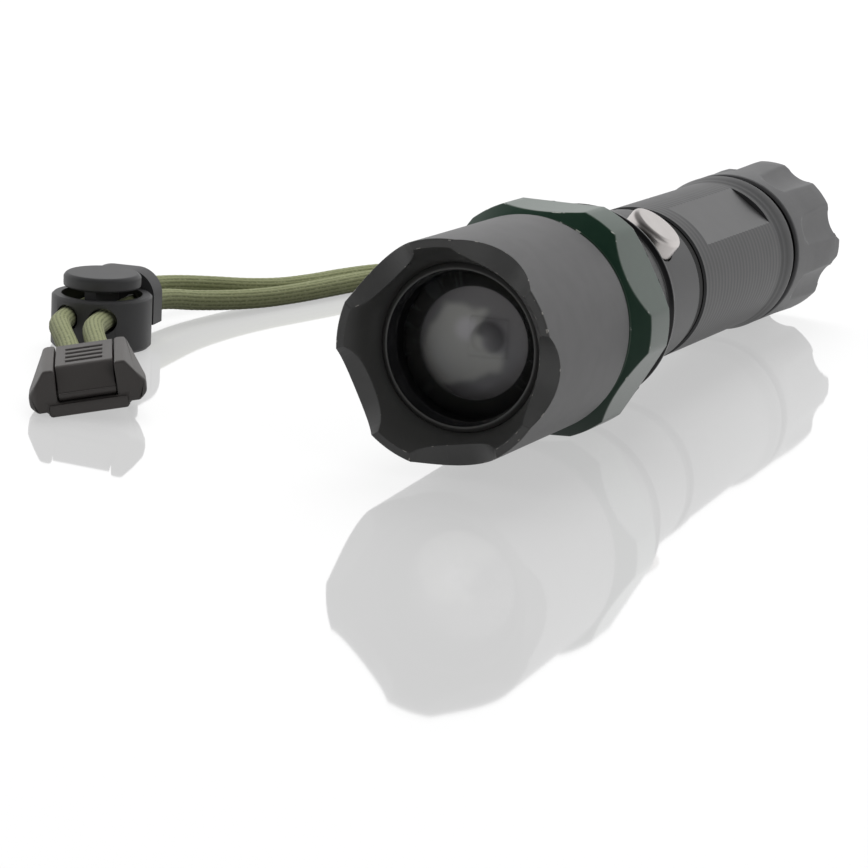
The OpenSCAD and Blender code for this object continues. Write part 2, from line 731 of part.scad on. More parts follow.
// Board with the plus contact of the cell
module contact_board() {
    color("seagreen") lay()
        translate([0, 0, s_contact]) cylinder(r = contact_board_r, h = contact_board_t);
}

// Cone spring that presses on the cell's button
module contact_spring() {
    color("silver") lay()
        translate([0, 0, s_contact + contact_board_t])
            coil_spring(contact_coil, contact_gap - gap, 2);
}

// Battery tube with one milled flat, a flare at the rear and a thread at each end
module battery_tube() {
    flare_from = s_tube_end - flare_band - flare_l;
    color("dimgray") lay() difference() {
        rotate_extrude()
            polygon([[tube_bore_r, s_tube], [tube_r - chamfer, s_tube], [tube_r, s_tube + chamfer],
                [tube_r, flare_from], [flare_r, flare_from + flare_l], [flare_r, s_tube_end - chamfer],
                [flare_r - chamfer, s_tube_end], [thread_r, s_tube_end],
                [thread_r, s_tube_end + thread_l], [tube_bore_r, s_tube_end + thread_l]]);
        translate([0, 0, s_tube - 1]) cylinder(r = thread_r + fit, h = thread_l - groove_front_w + 1.5);
        radial(side_angle, s_tube + flat_start)
            translate([-flat_l, -tube_r, tube_r - flat_depth]) cube([flat_l, tube_r * 2, tube_r]);
    }
}

// Rubber ring in the groove in front of the battery tube
module tube_oring() {
    color("black") lay()
        soft_ring(thread_r, oring_r, s_switch_end + seat_gap, s_tube - seat_gap, 0.6);
}

// Rubber ring in the groove in front of the tail cap
module tail_oring() {
    color("black") lay()
        soft_ring(thread_r, oring_r, s_tube_end + seat_gap, s_tail - gap, 0.6);
}

// Rechargeable cell with its plus button towards the head
module battery_cell() {
    nub_r = cell_r * 0.35;
    color("steelblue") lay() rotate_extrude()
        polygon([[0, s_cell], [nub_r, s_cell], [nub_r, s_cell + cell_button_h],
            [cell_r - chamfer, s_cell + cell_button_h], [cell_r, s_cell + cell_button_h + chamfer],
            [cell_r, s_cell_end - chamfer], [cell_r - chamfer, s_cell_end], [0, s_cell_end]]);
}

// Plastic sleeve that centres the cell in the tube
module cell_sleeve() {
    r_in = tube_bore_r - gap - cell_sleeve_wall;
    bare_end = 3;
    color("white") lay()
        turned_ring(r_in, tube_bore_r - gap, s_cell + bare_end, s_cell_end - bare_end);
}

// Tail cap with straight flutes between its teeth, a recess in its end and two lugs that stand out
module tail_cap() {
    lug_root = 1.3;
    band_rise = 0.1;
    crown_l = 1;
    color("dimgray") lay() difference() {
        union() {
            rotate_extrude()
                polygon([[thread_r + fit, s_tail], [tail_front_r - chamfer, s_tail],
                    [tail_front_r, s_tail + chamfer], [tail_front_r + band_rise, s_tail + tail_band],
                    [tail_r, s_rest_tail], [tail_end_r + chamfer / 2, s_crown - crown_l],
                    [tail_end_r - chamfer, s_crown], [recess_r + chamfer, s_crown],
                    [recess_r, s_crown - chamfer], [recess_r, s_recess], [0, s_recess],
                    [0, s_tail_floor], [thread_r + fit, s_tail_floor]]);
            for (angle = [lug_angle, lanyard_angle]) intersection() {
                turned_ring(recess_r, tail_end_r - seat_gap, s_crown - lug_root, s_end);
                radial(angle, s_crown)
                    linear_extrude(tail_r)
                        polygon([[lug_root, -lug_root_w / 2], [lug_root, lug_root_w / 2],
                            [-lug_h, lug_w / 2], [-lug_h, -lug_w / 2]]);
            }
        }
        around(flute_n, tooth_phase + 180 / flute_n)
            translate([flute_floor + flute_r, 0, s_tail + flute_start]) union() {
                sphere(r = flute_r);
                cylinder(r = flute_r, h = s_end - s_tail);
            }
        radial(lanyard_angle, s_lanyard) cylinder(d = lanyard_hole_d, h = tail_r * 2);
    }
}

// Contact plate at the bottom of the tail cap
module tail_contact() {
    color("goldenrod") lay()
        translate([0, 0, s_tail_floor - tail_contact_t])
            cylinder(r = thread_r - seat_gap, h = tail_contact_t);
}

// Cone spring between the tail contact and the cell
module tail_spring() {
    color("silver") lay()
        translate([0, 0, s_tail_floor - tail_contact_t])
            mirror([0, 0, 1])
                coil_spring(tail_coil, tail_spring_l - gap, 4);
}

// The two strands of the wrist cord meet inside the recess of the tail cap
module lanyard_strand_a() {
    color("darkolivegreen") swept_tube(route_a, cord_d / 2, cord_sides, [0, 0, 1]);
}
module lanyard_strand_b() {
    color("darkolivegreen") swept_tube(route_b, cord_d / 2, cord_sides, [0, 0, 1]);
}

// Places a piece of the cord lock on the floor
module at_lock() {
    translate(lock_place)
        rotate([0, 0, lock_heading])
            children();
}

// Barrel of the cord lock with its raised shoulder at the back and two holes for the cord
module cord_lock_body() {
    r = lock_d / 2;
    corner = 5;
    side = lock_shoulder_w / 2;
    color("dimgray") at_lock() difference() {
        union() {
            rotate_extrude()
                polygon([[0, 0], [r - 0.6, 0], [r, 0.6], [r, lock_h - 0.4], [r - 0.4, lock_h], [0, lock_h]]);
            translate([0, r - lock_wall + lock_shoulder_t, 0]) rotate([90, 0, 0])
                linear_extrude(lock_shoulder_t) union() {
                    translate([-side, lock_shoulder_z])
                        square([lock_shoulder_w, lock_shoulder_h - corner - lock_shoulder_z]);
                    translate([corner - side, lock_shoulder_z])
                        square([lock_shoulder_w - 2 * corner, lock_shoulder_h - lock_shoulder_z]);
                    for (x = [corner - side, side - corner])
                        translate([x, lock_shoulder_h - corner]) circle(r = corner);
                }
        }
        translate([0, 0, lock_floor]) cylinder(r = r - lock_wall, h = lock_shoulder_h);
        for (x = [-lock_pitch / 2, lock_pitch / 2])
            translate([x, 0, lock_hole_z]) rotate([90, 0, 0])
                cylinder(d = lock_hole_d, h = lock_d * 2, center = true);
    }
}

// Plunger: a disc to press, a web between the strands and a plate that lifts them
module cord_lock_plunger() {
    plate_r = lock_d / 2 - lock_wall - 0.45;
    plate_z = lock_plate_top - lock_plate_t;
    web_w = lock_pitch - cord_d - 0.7;
    web_l = 2 * plate_r - 2.4;
    disc_r = plunger_d / 2;
    disc_z = plunger_top - plunger_t;
    edge = 0.25;
    color("dimgray") at_lock() union() {
        rotate_extrude()
            polygon([[0, disc_z], [disc_r - edge, disc_z], [disc_r, disc_z + edge],
                [disc_r, plunger_top - 3 * edge], [disc_r - edge, plunger_top - edge],
                [disc_r - 3 * edge, plunger_top], [0, plunger_top]]);
        translate([-web_w / 2, -web_l / 2, plate_z])
            cube([web_w, web_l, disc_z - plate_z + plunger_t / 2]);
        translate([0, 0, plate_z]) cylinder(r = plate_r, h = lock_plate_t);
    }
}

// Flat cone spring under the plunger
module cord_lock_spring() {
    spring_h = lock_plate_top - lock_plate_t - lock_floor - seat_gap;
    color("silver") at_lock()
        translate([0, 0, lock_floor + seat_gap / 2]) coil_spring(lock_coil, spring_h, 3);
}

// Places a piece of the cord clip on the floor, rolled on to its left lower edge
module at_clip() {
    translate(clip_place + [0, 0, clip_lift])
        rotate([0, 0, clip_heading])
            rotate([0, -clip_roll, 0])
                children();
}

// The two channels that hold the ends of the cord
module clip_channels() {
    for (x = [-clip_pitch / 2, clip_pitch / 2])
        translate([x, clip_l - cord_grip, clip_part_z]) rotate([-90, 0, 0])
            cylinder(d = cord_d + 2 * gap, h = clip_l, $fn = 48);
}

// Base of the clip: a plate, a block with the cord channels and two flared wings
module clip_base() {
    in_x = clip_cover_w / 2 + 0.2;
    out_x = clip_w / 2;
    wing_profile = [[in_x, 0.8], [out_x - 1.2, 0.8], [out_x, 1.8], [out_x, 4], [in_x + 1.9, clip_h],
        [in_x, clip_h]];
    wing_plan = [[in_x, 0.8], [out_x - 1.4, 0.8], [out_x, 2.2], [out_x, 7], [in_x + 2.3, clip_l],
        [in_x, clip_l]];
    color("dimgray") at_clip() difference() {
        union() {
            translate([-clip_plate_w / 2, 0, 0]) cube([clip_plate_w, clip_l, clip_plate_t]);
            translate([-in_x - 0.5, clip_pin_y + 2.2, clip_plate_t - 0.5])
                cube([2 * in_x + 1, clip_l - clip_pin_y - 2.2, clip_part_z - 0.1 - clip_plate_t + 0.5]);
            for (flip = [0, 1]) mirror([flip, 0, 0]) intersection() {
                translate([0, clip_l + 1, 0]) rotate([90, 0, 0])
                    linear_extrude(clip_l + 2) polygon(wing_profile);
                linear_extrude(clip_h + 1) polygon(wing_plan);
            }
        }
        clip_channels();
        translate([-clip_pin_l / 2 - seat_gap, clip_pin_y, clip_pin_z]) rotate([0, 90, 0])
            cylinder(d = clip_pin_d + 2 * fit, h = clip_pin_l + 2 * seat_gap, $fn = 48);
    }
}

// Cover of the clip: it opens on the pin along its front edge
module clip_cover() {
    half = clip_cover_w / 2;
    top_front = clip_pin_y + 1.6;
    under = clip_part_z + 0.1;
    side = [[clip_pin_y - clip_barrel_r, clip_pin_z + 0.3], [top_front - 0.4, clip_h - 0.4],
        [top_front + 0.2, clip_h], [clip_l - 1, clip_h], [clip_l - 0.3, clip_h - 0.7],
        [clip_l - 0.3, under], [clip_pin_y + 0.8, under]];
    groove_l = clip_cover_w * 0.65;
    color("dimgray") at_clip() difference() {
        union() {
            translate([half, 0, 0]) rotate([90, 0, -90])
                mirror([1, 0, 0]) linear_extrude(clip_cover_w) polygon(side);
            translate([-half, clip_pin_y, clip_pin_z]) rotate([0, 90, 0])
                cylinder(r = clip_barrel_r, h = clip_cover_w, $fn = 48);
        }
        clip_channels();
        translate([-clip_w, clip_pin_y, clip_pin_z]) rotate([0, 90, 0])
            cylinder(d = clip_pin_d + 2 * fit, h = clip_w * 2, $fn = 48);
        for (i = [0 : clip_groove_n - 1])
            translate([-groove_l / 2, clip_l * 0.42 + i * 2.4, clip_h - 0.5])
                cube([groove_l, 1, 1]);
    }
}

// Hinge pin of the cover, held in the wings
module clip_pin() {
    color("dimgray") at_clip()
        translate([-clip_pin_l / 2, clip_pin_y, clip_pin_z]) rotate([0, 90, 0])
            cylinder(d = clip_pin_d, h = clip_pin_l, $fn = 48);
}

zoom_sleeve();
lens_ring();
lens();
lens_gasket();
anti_roll_ring();
rear_collar();
front_barrel();
stop_ring();
slide_oring();
led_pill();
led_board();
led_emitter();
led_centring_ring();
driver_board();
switch_housing();
switch_carrier();
switch_board();
tact_switch();
switch_button();
button_oring();
contact_board();
contact_spring();
battery_tube();
tube_oring();
tail_oring();
battery_cell();
cell_sleeve();
tail_cap();
tail_contact();
tail_spring();
lanyard_strand_a();
lanyard_strand_b();
cord_lock_body();
cord_lock_plunger();
cord_lock_spring();
clip_base();
clip_cover();
clip_pin();
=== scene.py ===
import json
import math

import bpy
from mathutils import Matrix, Vector

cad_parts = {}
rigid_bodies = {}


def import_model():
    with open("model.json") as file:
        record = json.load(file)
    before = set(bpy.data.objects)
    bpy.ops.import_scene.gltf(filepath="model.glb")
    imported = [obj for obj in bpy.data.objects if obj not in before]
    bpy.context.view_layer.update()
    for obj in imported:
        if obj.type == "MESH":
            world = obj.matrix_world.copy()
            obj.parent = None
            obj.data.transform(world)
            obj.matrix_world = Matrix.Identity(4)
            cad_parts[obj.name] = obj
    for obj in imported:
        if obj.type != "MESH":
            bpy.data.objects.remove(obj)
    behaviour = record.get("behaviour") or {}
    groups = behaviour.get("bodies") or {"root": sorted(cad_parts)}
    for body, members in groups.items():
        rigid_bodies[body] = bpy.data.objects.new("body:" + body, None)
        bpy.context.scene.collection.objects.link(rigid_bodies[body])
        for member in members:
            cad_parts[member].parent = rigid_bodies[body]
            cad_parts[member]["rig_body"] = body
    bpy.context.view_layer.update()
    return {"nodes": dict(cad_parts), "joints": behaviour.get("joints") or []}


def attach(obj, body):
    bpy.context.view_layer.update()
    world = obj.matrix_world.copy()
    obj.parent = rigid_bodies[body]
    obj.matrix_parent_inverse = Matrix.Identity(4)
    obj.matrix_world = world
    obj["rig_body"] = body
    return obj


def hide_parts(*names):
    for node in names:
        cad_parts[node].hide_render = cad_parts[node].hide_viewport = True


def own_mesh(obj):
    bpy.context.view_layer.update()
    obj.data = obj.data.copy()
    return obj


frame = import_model()
bpy.context.scene.view_settings.view_transform = "Standard"


# Barrel and light engine
# A plain turned aluminium barrel that the zoom head slides on. A brass holder is pressed into its
# front and carries the LED board; a spring clip and an O-ring sit in grooves round the outside.

# The flashlight's own axis, from the joints: it leans a little, because the ring is wider than the tail.
joint = {j["name"]: j for j in frame["joints"]}
forward = Vector(joint["zoom"]["axis"]).normalized()
axis_point = Vector(joint["tail_unscrew"]["pos_m"])
rim_reach = max((v.co - axis_point).dot(forward) for v in frame["nodes"]["zoom_sleeve"].data.vertices)
rim_centre = axis_point + forward * rim_reach
axis_turn = Matrix((Vector((1, 0, 0)), (-forward).cross(Vector((1, 0, 0))), -forward)).transposed()


def new_finish(name, colour, metallic, roughness, specular=0.5):
    """A material with one Principled shader, and the parts of it that later lines join to."""
    material = bpy.data.materials.new(name)
    material.use_nodes = True
    tree = material.node_tree
    shader = tree.nodes["Principled BSDF"]
    shader.inputs["Base Color"].default_value = (*colour, 1)
    shader.inputs["Metallic"].default_value = metallic
    shader.inputs["Roughness"].default_value = roughness
    shader.inputs["Specular IOR Level"].default_value = specular
    return material, tree, shader


def calc(tree, operation, *values):
    """One Math node; each value is a number or another node's output."""
    node = tree.nodes.new("ShaderNodeMath")
    node.operation = operation
    for place, value in zip(node.inputs, values):
        if isinstance(value, bpy.types.NodeSocket):
            tree.links.new(value, place)
        else:
            place.default_value = value
    return node.outputs[0]


def fade(tree, value, start, end, low=0.0, high=1.0):
    """Goes smoothly from low to high while value goes from start to end."""
    node = tree.nodes.new("ShaderNodeMapRange")
    node.interpolation_type = "SMOOTHSTEP"
    tree.links.new(value, node.inputs["Value"])
    for place, number in zip(("From Min", "From Max", "To Min", "To Max"), (start, end, low, high)):
        node.inputs[place].default_value = number
    return node.outputs["Result"]


def mixed_colour(tree, share, below, above):
    """Mixes two colours, or a node's colour output and a colour, by share."""
    node = tree.nodes.new("ShaderNodeMix")
    node.data_type = "RGBA"
    tree.links.new(share, node.inputs["Factor"])
    for place, colour in ((node.inputs["A"], below), (node.inputs["B"], above)):
        if isinstance(colour, bpy.types.NodeSocket):
            tree.links.new(colour, place)
        else:
            place.default_value = (*colour, 1)
    return node.outputs["Result"]


def object_noise(tree, size, detail=2.0):
    """Noise on Object coordinates, with features of about that size in metres."""
    place = tree.nodes.new("ShaderNodeTexCoord")
    noise = tree.nodes.new("ShaderNodeTexNoise")
    noise.inputs["Scale"].default_value = 1 / size
    noise.inputs["Detail"].default_value = detail
    tree.links.new(place.outputs["Object"], noise.inputs["Vector"])
    return noise.outputs["Fac"]


def add_bump(tree, shader, height, depth):
    """Bump from a height of 0 to 1 that stands for that depth in metres."""
    bump = tree.nodes.new("ShaderNodeBump")
    bump.inputs["Distance"].default_value = depth
    bump.inputs["Strength"].default_value = 1
    tree.links.new(height, bump.inputs["Height"])
    tree.links.new(bump.outputs["Normal"], shader.inputs["Normal"])


def mottle(tree, shader, size, dark, light, start=0.3, end=0.7):
    """Colour that drifts between a darker and a lighter tone, with spots of about that size in metres."""
    tree.links.new(mixed_colour(tree, fade(tree, object_noise(tree, size), start, end), dark, light),
                   shader.inputs["Base Color"])


def uneven_gloss(tree, shader, size, smooth, rough):
    """Roughness that drifts between two values, with spots of about that size in metres."""
    tree.links.new(fade(tree, object_noise(tree, size), 0.3, 0.7, smooth, rough),
                   shader.inputs["Roughness"])


def wear(finish, *nodes):
    """Gives CAD pieces their finish."""
    for node in nodes:
        slots = frame["nodes"][node].data.materials
        slots.clear()
        slots.append(finish)


barrel_grey, tree, shader = new_finish("barrel_grey", (0.05, 0.05, 0.053), 0.5, 0.42)
add_bump(tree, shader, object_noise(tree, 0.00012), 0.000006)
wear(barrel_grey, "front_barrel", "stop_ring")

brass, tree, shader = new_finish("turned_brass", (0.62, 0.43, 0.16), 1.0, 0.3)
add_bump(tree, shader, object_noise(tree, 0.0003), 0.000008)
wear(brass, "led_pill", "tail_contact")

board_grey, tree, shader = new_finish("led_board_mask", (0.2, 0.19, 0.2), 0.0, 0.5)
mottle(tree, shader, 0.004, (0.19, 0.18, 0.19), (0.21, 0.2, 0.21))
wear(board_grey, "led_board")


def distance_from(tree, point):
    """Distance in metres from a fixed point of the part."""
    place = tree.nodes.new("ShaderNodeTexCoord")
    node = tree.nodes.new("ShaderNodeVectorMath")
    node.operation = "DISTANCE"
    node.inputs[1].default_value = point
    tree.links.new(place.outputs["Object"], node.inputs[0])
    return node.outputs["Value"]


# The washer and the emitter in it are coated grey, with painted light and shade on them: a pale patch,
# darker to one side, and one pale spot that is a painted highlight.
washer_depth = 0.0195
washer_centre = rim_centre - forward * washer_depth
painted_light_centre, painted_shade_centre, painted_highlight_centre = (washer_centre + Vector((side, 0.0, height)) for side, height in (
    (-0.0031, -0.0012), (0.00135, 0.0010), (-0.0030, 0.0008)))
painted_light_border, painted_shade_border, painted_highlight_border = (0.0084, 0.0074), (0.0049, 0.0059), (0.0022, 0.0008)
waver_size, waver_reach = 0.005, 0.005
washer_painted_light, tree, shader = new_finish("washer_painted_light", (0.48, 0.48, 0.45), 0.0, 0.5)
# The pale patch is painted light and the dark side is painted shade; noise wavers their borders.
waver = calc(tree, "MULTIPLY", object_noise(tree, waver_size), waver_reach)
painted_light_share = calc(tree, "MULTIPLY",
                  fade(tree, calc(tree, "ADD", distance_from(tree, painted_light_centre), waver), *painted_light_border),
                  fade(tree, calc(tree, "ADD", distance_from(tree, painted_shade_centre), waver), *painted_shade_border))
painted_light_and_shade = mixed_colour(tree, painted_light_share, (0.28, 0.268, 0.275), (0.68, 0.68, 0.645))
# The pale spot mixed in here is a painted highlight.
tree.links.new(mixed_colour(tree, fade(tree, distance_from(tree, painted_highlight_centre), *painted_highlight_border), painted_light_and_shade,
                            (0.92, 0.9, 0.93)), shader.inputs["Base Color"])
wear(washer_painted_light, "led_centring_ring", "led_emitter")

circuit, tree, shader = new_finish("circuit_board", (0.02, 0.16, 0.07), 0.0, 0.4)
mottle(tree, shader, 0.002, (0.015, 0.12, 0.05), (0.03, 0.2, 0.09), 0.5, 0.55)
wear(circuit, "driver_board", "switch_board", "contact_board")

rubber, tree, shader = new_finish("black_rubber", (0.006, 0.006, 0.006), 0.0, 0.5, 0.12)
add_bump(tree, shader, object_noise(tree, 0.0004), 0.00001)
wear(rubber, "slide_oring", "button_oring", "tube_oring", "tail_oring")

spring_wire, tree, shader = new_finish("spring_wire", (0.6, 0.6, 0.6), 1.0, 0.25)
add_bump(tree, shader, object_noise(tree, 0.0002), 0.000004)
wear(spring_wire, "contact_spring", "tail_spring")


# Switch section
# A smooth anodised housing with a round hole in its side. A silver button with a soft edge sits
# in the hole and presses a small switch on a board that a plastic block carries.


def mill_out(piece, cutter):
    """Cuts a cutter's shape out of a piece, and puts the cutter away."""
    same_place, no_area = 3e-6, 1e-6
    bpy.ops.object.select_all(action="DESELECT")
    piece.select_set(True)
    bpy.context.view_layer.objects.active = piece
    cut = piece.modifiers.new("milled", "BOOLEAN")
    cut.object = cutter
    cut.operation = "DIFFERENCE"
    cut.solver = "EXACT"
    bpy.ops.object.modifier_apply(modifier="milled")
    bpy.data.objects.remove(cutter)
    bpy.ops.object.mode_set(mode="EDIT")
    bpy.ops.mesh.select_all(action="SELECT")
    bpy.ops.mesh.remove_doubles(threshold=same_place)
    bpy.ops.mesh.dissolve_degenerate(threshold=no_area)
    bpy.ops.object.mode_set(mode="OBJECT")


def with_soft_edges(node, width, finish, edge_finish=None, narrow=False, cutters=()):
    """Stands for a CAD piece with a copy whose sharp edges are broken, as a tumbled or moulded edge is.

    A piece with edges that run out to nothing is narrow: its broken edges stay inside the smallest face.
    Cutters are milled out of the copy before its edges are broken.
    """
    level_within, sharp_from, round_within = math.radians(0.4), math.radians(28), math.radians(40)
    source = frame["nodes"][node]
    piece = bpy.data.objects.new(node + "_finished", source.data.copy())
    bpy.context.scene.collection.objects.link(piece)
    piece.data.materials.clear()
    piece.data.materials.append(finish)
    bpy.ops.object.select_all(action="DESELECT")
    piece.select_set(True)
    bpy.context.view_layer.objects.active = piece
    bpy.ops.object.mode_set(mode="EDIT")
    bpy.ops.mesh.select_all(action="SELECT")
    bpy.ops.mesh.customdata_custom_splitnormals_clear()
    bpy.ops.mesh.remove_doubles(threshold=2e-6)
    if cutters:
        bpy.ops.object.mode_set(mode="OBJECT")
        for cutter in cutters:
            mill_out(piece, cutter)
        bpy.ops.object.mode_set(mode="EDIT")
        bpy.ops.mesh.select_all(action="SELECT")
    bpy.ops.mesh.dissolve_limited(angle_limit=level_within)
    bpy.ops.object.mode_set(mode="OBJECT")
    edge = piece.modifiers.new("broken_edge", "BEVEL")
    edge.limit_method = "ANGLE"
    edge.angle_limit = sharp_from
    edge.width = width
    edge.segments = 2
    edge.use_clamp_overlap = narrow
    if edge_finish:
        piece.data.materials.append(edge_finish)
        edge.material = 1
    bpy.ops.object.modifier_apply(modifier="broken_edge")
    bpy.ops.object.shade_smooth_by_angle(angle=round_within)
    flat_faces = piece.modifiers.new("flat_faces", "WEIGHTED_NORMAL")
    flat_faces.keep_sharp = True
    bpy.ops.object.modifier_apply(modifier="flat_faces")
    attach(piece, source["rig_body"])
    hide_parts(node)
    return piece


switch_grey, tree, shader = new_finish("switch_grey", (0.03, 0.03, 0.032), 0.0, 0.4, 0.4)
mottle(tree, shader, 0.004, (0.028, 0.028, 0.030), (0.032, 0.032, 0.034))
add_bump(tree, shader, object_noise(tree, 0.00012), 0.000006)
with_soft_edges("switch_housing", 0.00015, switch_grey)

moulded_black, tree, shader = new_finish("moulded_black", (0.015, 0.015, 0.015), 0.0, 0.5)
add_bump(tree, shader, object_noise(tree, 0.0003), 0.00001)
wear(moulded_black, "switch_carrier", "tact_switch")

button_silver, tree, shader = new_finish("button_silver", (0.64, 0.605, 0.59), 1.0, 0.34)
uneven_gloss(tree, shader, 0.002, 0.33, 0.36)
with_soft_edges("switch_button", 0.0003, button_silver)


# Battery tube and cell
# The tube is turned with fine ribs for grip and a thread at its rear end, and one long flat is
# milled bare along its side. Inside it a plastic sleeve holds a wrapped cell.

tube_radius, tube_bore = 0.01445, 0.0112
tube_start, tube_end = 0.091, 0.1427
front_socket, front_socket_depth = 0.01265, 0.0075
flare_radius, flare_length, flare_band = 0.0152, 0.005, 0.0012
thread_radius, thread_length, thread_pitch, thread_depth = 0.0126, 0.0105, 0.00125, 0.00045
turned_edge = 0.0004
rib_pitch, rib_land, rib_depth, rib_margin = 0.00185, 0.0007, 0.00006, 0.001
flat_length, flat_depth, flat_margin = 0.0378, 0.00095, 0.0065
flare_start = tube_end - flare_band - flare_length
ribs_from, ribs_to = tube_start + rib_margin, tube_end - flare_band
flat_from, flat_height = tube_start + flat_margin, tube_radius - flat_depth
flat_outward = -Vector(joint["button_press"]["axis"]).normalized()


def turned(name, outline, steps):
    """Spins an outline of radius and distance behind the rim once round the flashlight's axis."""
    mesh = bpy.data.meshes.new(name)
    count = len(outline)
    mesh.from_pydata([(radius, 0, along) for radius, along in outline],
                     [(i, (i + 1) % count) for i in range(count)], [])
    piece = bpy.data.objects.new(name, mesh)
    bpy.context.scene.collection.objects.link(piece)
    bpy.ops.object.select_all(action="DESELECT")
    piece.select_set(True)
    bpy.context.view_layer.objects.active = piece
    bpy.ops.object.mode_set(mode="EDIT")
    bpy.ops.mesh.select_all(action="SELECT")
    bpy.ops.mesh.spin(steps=steps, angle=2 * math.pi, center=(0, 0, 0), axis=(0, 0, 1))
    bpy.ops.mesh.select_all(action="SELECT")
    bpy.ops.mesh.remove_doubles(threshold=2e-6)
    bpy.ops.mesh.normals_make_consistent(inside=False)
    bpy.ops.object.mode_set(mode="OBJECT")
    piece.matrix_world = Matrix.Translation(rim_centre) @ axis_turn.to_4x4()
    bpy.ops.object.transform_apply(location=True, rotation=True, scale=True)
    return piece


tube_outline = [(front_socket, tube_start), (tube_radius - turned_edge, tube_start),
                (tube_radius, tube_start + turned_edge)]
for k in range(int((ribs_to - ribs_from) / rib_pitch)):
    foot = ribs_from + k * rib_pitch
    groove = rib_pitch - rib_land
    for along, depth in ((foot, 0.0), (foot + groove / 2, rib_depth), (foot + groove, 0.0)):
        risen = max(0.0, along - flare_start) / flare_length
        tube_outline.append((tube_radius + (flare_radius - tube_radius) * risen - depth, along))
tube_outline += [(flare_radius, flare_start + flare_length), (flare_radius, tube_end - turned_edge),
                 (flare_radius - turned_edge, tube_end), (thread_radius, tube_end)]
fall_end, rise_start, rise_end = (thread_pitch * share for share in (0.4, 0.5, 0.9))
for k in range(1, int(thread_length / thread_pitch)):
    foot = tube_end + k * thread_pitch
    tube_outline += [(thread_radius, foot), (thread_radius - thread_depth, foot + fall_end),
                     (thread_radius - thread_depth, foot + rise_start), (thread_radius, foot + rise_end)]
socket_end = tube_start + front_socket_depth
tube_outline += [(thread_radius, tube_end + thread_length), (tube_bore, tube_end + thread_length),
                 (tube_bore, socket_end), (front_socket, socket_end)]
tube_steps = 144
tube = turned("battery_tube_finished", tube_outline, tube_steps)

bpy.ops.object.select_all(action="DESELECT")
bpy.ops.mesh.primitive_cube_add(size=1)
cutter = bpy.context.object
flat_side = forward.cross(flat_outward)
flat_middle = (rim_centre - forward * (flat_from + flat_length / 2)
               + flat_outward * (flat_height + tube_radius))
cutter.matrix_world = (Matrix.Translation(flat_middle)
                       @ Matrix((flat_side, forward, flat_outward)).transposed().to_4x4()
                       @ Matrix.Diagonal((tube_radius * 3, flat_length, tube_radius * 2, 1)))
mill_out(tube, cutter)
bpy.ops.object.shade_smooth_by_angle(angle=math.radians(20))

tube_grey, tree, shader = new_finish("ribbed_tube", (0.044, 0.044, 0.046), 0.0, 0.42, 0.36)
mottle(tree, shader, 0.005, (0.041, 0.041, 0.043), (0.047, 0.047, 0.049))

# The flat is a lighter grey than the ribs: bare milled metal, and partly painted light where it faces up.
flat_grey_painted_light, tree, shader = new_finish("milled_flat", (0.075, 0.075, 0.077), 0.0, 0.38)
mottle(tree, shader, 0.006, (0.072, 0.072, 0.074), (0.078, 0.078, 0.080))
add_bump(tree, shader, object_noise(tree, 0.00015), 0.000004)

# The front faces of the tube and of the tail cap are walls of the grooves; they are painted near black as
# painted shade.
painted_groove_shade, tree, shader = new_finish("painted_groove_shade", (0.006, 0.006, 0.006), 0.0, 0.6, 0.1)
mottle(tree, shader, 0.003, (0.005, 0.005, 0.005), (0.008, 0.008, 0.008))

tube.data.materials.clear()
for finish in (tube_grey, flat_grey_painted_light, painted_groove_shade):
    tube.data.materials.append(finish)
true_flat, front_end = 0.9999, 0.99
for face in tube.data.polygons:
    offset = face.center - rim_centre
    above_flat = abs(offset.dot(flat_outward) - flat_height)
    if face.normal.dot(flat_outward) > true_flat and above_flat < turned_edge / 4:
        face.material_index = 1
    elif face.normal.dot(forward) > front_end and -offset.dot(forward) < tube_start + turned_edge:
        face.material_index = 2
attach(tube, frame["nodes"]["battery_tube"]["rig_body"])
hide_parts("battery_tube")

cell_wrap, tree, shader = new_finish("cell_wrap", (0.03, 0.1, 0.3), 0.0, 0.3)
mottle(tree, shader, 0.01, (0.025, 0.09, 0.27), (0.035, 0.11, 0.32))
wear(cell_wrap, "battery_cell")

sleeve_white, tree, shader = new_finish("cell_sleeve_white", (0.75, 0.75, 0.73), 0.0, 0.5)
add_bump(tree, shader, object_noise(tree, 0.0006), 0.00001)
wear(sleeve_white, "cell_sleeve")


# Zoom head
# The sleeve is blasted and anodised matte grey. The funnel and the scallops of the rim were cut smooth, so
# they look darker, and their edges have small bright flecks: worn nicks, and also painted highlights along
# the edges. The lens is clear and thick.

sleeve_grey, tree, shader = new_finish("blasted_sleeve", (0.110, 0.109, 0.111), 0.0, 0.5, 0.5)
mottle(tree, shader, 0.004, (0.105, 0.104, 0.106), (0.115, 0.114, 0.116))
add_bump(tree, shader, object_noise(tree, 0.00014, 3.0), 0.000014)

# Pale flecks on the broken edges: worn nicks, and painted highlights along the edges.
nicks_and_painted_edge_highlights, tree, shader = new_finish("nicks_and_painted_edge_highlights", (0.084, 0.084, 0.083), 0.0, 0.4)
mottle(tree, shader, 0.0011, (0.084, 0.084, 0.083), (0.42, 0.4, 0.37), 0.61, 0.66)

funnel_black, tree, shader = new_finish("funnel_black", (0.065, 0.065, 0.063), 0.0, 0.36, 0.5)
uneven_gloss(tree, shader, 0.006, 0.33, 0.39)

scallop_satin, tree, shader = new_finish("scallop_satin", (0.096, 0.096, 0.095), 0.0, 0.42, 0.45)
mottle(tree, shader, 0.003, (0.092, 0.092, 0.091), (0.100, 0.100, 0.099))
add_bump(tree, shader, object_noise(tree, 0.00015), 0.000006)

